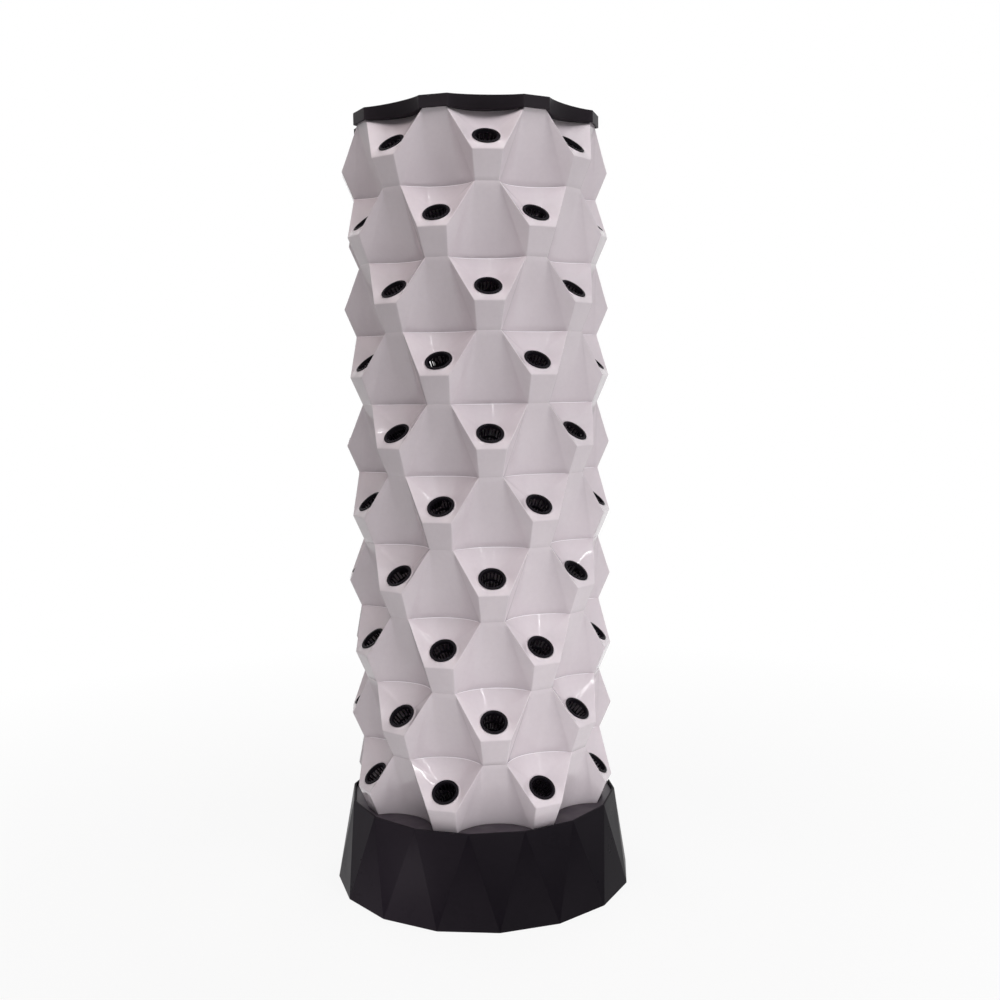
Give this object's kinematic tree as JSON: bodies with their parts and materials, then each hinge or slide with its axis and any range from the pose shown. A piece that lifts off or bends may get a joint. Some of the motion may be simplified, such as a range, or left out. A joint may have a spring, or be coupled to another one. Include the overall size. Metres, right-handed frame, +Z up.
{
  "type": "vertical planter tower",
  "caption": "Tall free-standing hydroponic planter tower of stacked scalloped layers with net cups, on a faceted water tank with a pump and riser, under a scalloped cover.",
  "frame": {"origin": "middle of the tank's underside, on the floor", "axes": "+Z up along the riser pipe; -Y is the front, where the top layer has a pocket; +X to the right of someone who faces the front"},
  "size_m": [0.601, 0.601, 1.533],
  "materials": {
    "layer_plastic": "glossy white with a lilac tint",
    "tank_plastic": "glossy near-black",
    "deck_plastic": "satin dark grey",
    "cover_plastic": "satin black",
    "cup_plastic": "matte black",
    "pipe_plastic": "smooth white pipe",
    "tray_plastic": "glossy white",
    "pump_plastic": "matte black",
    "impeller_plastic": "matte white",
    "seal_rubber": "matte black rubber"
  },
  "bodies": {
    "tower": {"base_tank": "tank_plastic", "cable_grommet": "seal_rubber", "tank_deck": "deck_plastic", "pump_base_plate": "seal_rubber", "pump_motor_housing": "pump_plastic", "pump_volute": "pump_plastic", "pump_volute_cover": "pump_plastic", "pump_strainer": "pump_plastic", "riser_coupling_1": "pipe_plastic", "riser_pipe_1": "pipe_plastic", "riser_coupling_2": "pipe_plastic", "riser_pipe_2": "pipe_plastic", "riser_coupling_3": "pipe_plastic", "riser_pipe_3": "pipe_plastic", "planting_layer_01": "layer_plastic", "planting_layer_02": "layer_plastic", "planting_layer_03": "layer_plastic", "planting_layer_04": "layer_plastic", "planting_layer_05": "layer_plastic", "planting_layer_06": "layer_plastic", "planting_layer_07": "layer_plastic", "planting_layer_08": "layer_plastic", "planting_layer_09": "layer_plastic", "planting_layer_10": "layer_plastic"},
    "impeller": {"pump_impeller": "impeller_plastic"},
    "tray_and_head": {"drip_tray": "tray_plastic", "sprinkler_head": "pipe_plastic"},
    "cover": {"top_cover": "cover_plastic"},
    "net_cup_07_1_body": {"net_cup_07_1": "cup_plastic"},
    "net_cup_07_2_body": {"net_cup_07_2": "cup_plastic"},
    "net_cup_07_3_body": {"net_cup_07_3": "cup_plastic"},
    "net_cup_07_4_body": {"net_cup_07_4": "cup_plastic"},
    "net_cup_07_5_body": {"net_cup_07_5": "cup_plastic"},
    "net_cup_07_6_body": {"net_cup_07_6": "cup_plastic"},
    "net_cup_07_7_body": {"net_cup_07_7": "cup_plastic"},
    "net_cup_07_8_body": {"net_cup_07_8": "cup_plastic"},
    "net_cup_08_1_body": {"net_cup_08_1": "cup_plastic"},
    "net_cup_08_2_body": {"net_cup_08_2": "cup_plastic"},
    "net_cup_08_3_body": {"net_cup_08_3": "cup_plastic"},
    "net_cup_08_4_body": {"net_cup_08_4": "cup_plastic"},
    "net_cup_08_5_body": {"net_cup_08_5": "cup_plastic"},
    "net_cup_08_6_body": {"net_cup_08_6": "cup_plastic"},
    "net_cup_08_7_body": {"net_cup_08_7": "cup_plastic"},
    "net_cup_08_8_body": {"net_cup_08_8": "cup_plastic"},
    "net_cup_09_1_body": {"net_cup_09_1": "cup_plastic"},
    "net_cup_09_2_body": {"net_cup_09_2": "cup_plastic"},
    "net_cup_09_3_body": {"net_cup_09_3": "cup_plastic"},
    "net_cup_09_4_body": {"net_cup_09_4": "cup_plastic"},
    "net_cup_09_5_body": {"net_cup_09_5": "cup_plastic"},
    "net_cup_09_6_body": {"net_cup_09_6": "cup_plastic"},
    "net_cup_09_7_body": {"net_cup_09_7": "cup_plastic"},
    "net_cup_09_8_body": {"net_cup_09_8": "cup_plastic"},
    "net_cup_10_1_body": {"net_cup_10_1": "cup_plastic"},
    "net_cup_10_2_body": {"net_cup_10_2": "cup_plastic"},
    "net_cup_10_3_body": {"net_cup_10_3": "cup_plastic"},
    "net_cup_10_4_body": {"net_cup_10_4": "cup_plastic"},
    "net_cup_10_5_body": {"net_cup_10_5": "cup_plastic"},
    "net_cup_10_6_body": {"net_cup_10_6": "cup_plastic"},
    "net_cup_10_7_body": {"net_cup_10_7": "cup_plastic"},
    "net_cup_10_8_body": {"net_cup_10_8": "cup_plastic"}
  },
  "joints": [
    {"name": "impeller_spin", "type": "hinge", "parent": "tower", "child": "impeller", "pos_m": [0, 0, 0.052], "axis": [1, 0, 0], "continuous": true},
    {"name": "tray_lift", "type": "slide", "parent": "tower", "child": "tray_and_head", "axis": [0, 0, 1], "range_m": [0, 0.08]},
    {"name": "cover_lift", "type": "slide", "parent": "tray_and_head", "child": "cover", "axis": [0, 0, 1], "range_m": [0, 0.12]},
    {"name": "cup_07_1_pull", "type": "slide", "parent": "tower", "child": "net_cup_07_1_body", "axis": [0.5988, -0.248, 0.7615], "range_m": [0, 0.07]},
    {"name": "cup_07_2_pull", "type": "slide", "parent": "tower", "child": "net_cup_07_2_body", "axis": [0.5988, 0.248, 0.7615], "range_m": [0, 0.07]},
    {"name": "cup_07_3_pull", "type": "slide", "parent": "tower", "child": "net_cup_07_3_body", "axis": [0.248, 0.5988, 0.7615], "range_m": [0, 0.07]},
    {"name": "cup_07_4_pull", "type": "slide", "parent": "tower", "child": "net_cup_07_4_body", "axis": [-0.248, 0.5988, 0.7615], "range_m": [0, 0.07]},
    {"name": "cup_07_5_pull", "type": "slide", "parent": "tower", "child": "net_cup_07_5_body", "axis": [-0.5988, 0.248, 0.7615], "range_m": [0, 0.07]},
    {"name": "cup_07_6_pull", "type": "slide", "parent": "tower", "child": "net_cup_07_6_body", "axis": [-0.5988, -0.248, 0.7615], "range_m": [0, 0.07]},
    {"name": "cup_07_7_pull", "type": "slide", "parent": "tower", "child": "net_cup_07_7_body", "axis": [-0.248, -0.5988, 0.7615], "range_m": [0, 0.07]},
    {"name": "cup_07_8_pull", "type": "slide", "parent": "tower", "child": "net_cup_07_8_body", "axis": [0.248, -0.5988, 0.7615], "range_m": [0, 0.07]},
    {"name": "cup_08_1_pull", "type": "slide", "parent": "tower", "child": "net_cup_08_1_body", "axis": [0.4583, -0.4583, 0.7615], "range_m": [0, 0.07]},
    {"name": "cup_08_2_pull", "type": "slide", "parent": "tower", "child": "net_cup_08_2_body", "axis": [0.6481, 0, 0.7615], "range_m": [0, 0.07]},
    {"name": "cup_08_3_pull", "type": "slide", "parent": "tower", "child": "net_cup_08_3_body", "axis": [0.4583, 0.4583, 0.7615], "range_m": [0, 0.07]},
    {"name": "cup_08_4_pull", "type": "slide", "parent": "tower", "child": "net_cup_08_4_body", "axis": [0, 0.6481, 0.7615], "range_m": [0, 0.07]},
    {"name": "cup_08_5_pull", "type": "slide", "parent": "tower", "child": "net_cup_08_5_body", "axis": [-0.4583, 0.4583, 0.7615], "range_m": [0, 0.07]},
    {"name": "cup_08_6_pull", "type": "slide", "parent": "tower", "child": "net_cup_08_6_body", "axis": [-0.6481, 0, 0.7615], "range_m": [0, 0.07]},
    {"name": "cup_08_7_pull", "type": "slide", "parent": "tower", "child": "net_cup_08_7_body", "axis": [-0.4583, -0.4583, 0.7615], "range_m": [0, 0.07]},
    {"name": "cup_08_8_pull", "type": "slide", "parent": "tower", "child": "net_cup_08_8_body", "axis": [0, -0.6481, 0.7615], "range_m": [0, 0.07]},
    {"name": "cup_09_1_pull", "type": "slide", "parent": "tower", "child": "net_cup_09_1_body", "axis": [0.248, -0.5988, 0.7615], "range_m": [0, 0.07]},
    {"name": "cup_09_2_pull", "type": "slide", "parent": "tower", "child": "net_cup_09_2_body", "axis": [0.5988, -0.248, 0.7615], "range_m": [0, 0.07]},
    {"name": "cup_09_3_pull", "type": "slide", "parent": "tower", "child": "net_cup_09_3_body", "axis": [0.5988, 0.248, 0.7615], "range_m": [0, 0.07]},
    {"name": "cup_09_4_pull", "type": "slide", "parent": "tower", "child": "net_cup_09_4_body", "axis": [0.248, 0.5988, 0.7615], "range_m": [0, 0.07]},
    {"name": "cup_09_5_pull", "type": "slide", "parent": "tower", "child": "net_cup_09_5_body", "axis": [-0.248, 0.5988, 0.7615], "range_m": [0, 0.07]},
    {"name": "cup_09_6_pull", "type": "slide", "parent": "tower", "child": "net_cup_09_6_body", "axis": [-0.5988, 0.248, 0.7615], "range_m": [0, 0.07]},
    {"name": "cup_09_7_pull", "type": "slide", "parent": "tower", "child": "net_cup_09_7_body", "axis": [-0.5988, -0.248, 0.7615], "range_m": [0, 0.07]},
    {"name": "cup_09_8_pull", "type": "slide", "parent": "tower", "child": "net_cup_09_8_body", "axis": [-0.248, -0.5988, 0.7615], "range_m": [0, 0.07]},
    {"name": "cup_10_1_pull", "type": "slide", "parent": "tower", "child": "net_cup_10_1_body", "axis": [0, -0.6481, 0.7615], "range_m": [0, 0.07]},
    {"name": "cup_10_2_pull", "type": "slide", "parent": "tower", "child": "net_cup_10_2_body", "axis": [0.4583, -0.4583, 0.7615], "range_m": [0, 0.07]},
    {"name": "cup_10_3_pull", "type": "slide", "parent": "tower", "child": "net_cup_10_3_body", "axis": [0.6481, 0, 0.7615], "range_m": [0, 0.07]},
    {"name": "cup_10_4_pull", "type": "slide", "parent": "tower", "child": "net_cup_10_4_body", "axis": [0.4583, 0.4583, 0.7615], "range_m": [0, 0.07]},
    {"name": "cup_10_5_pull", "type": "slide", "parent": "tower", "child": "net_cup_10_5_body", "axis": [0, 0.6481, 0.7615], "range_m": [0, 0.07]},
    {"name": "cup_10_6_pull", "type": "slide", "parent": "tower", "child": "net_cup_10_6_body", "axis": [-0.4583, 0.4583, 0.7615], "range_m": [0, 0.07]},
    {"name": "cup_10_7_pull", "type": "slide", "parent": "tower", "child": "net_cup_10_7_body", "axis": [-0.6481, 0, 0.7615], "range_m": [0, 0.07]},
    {"name": "cup_10_8_pull", "type": "slide", "parent": "tower", "child": "net_cup_10_8_body", "axis": [-0.4583, -0.4583, 0.7615], "range_m": [0, 0.07]}
  ]
}
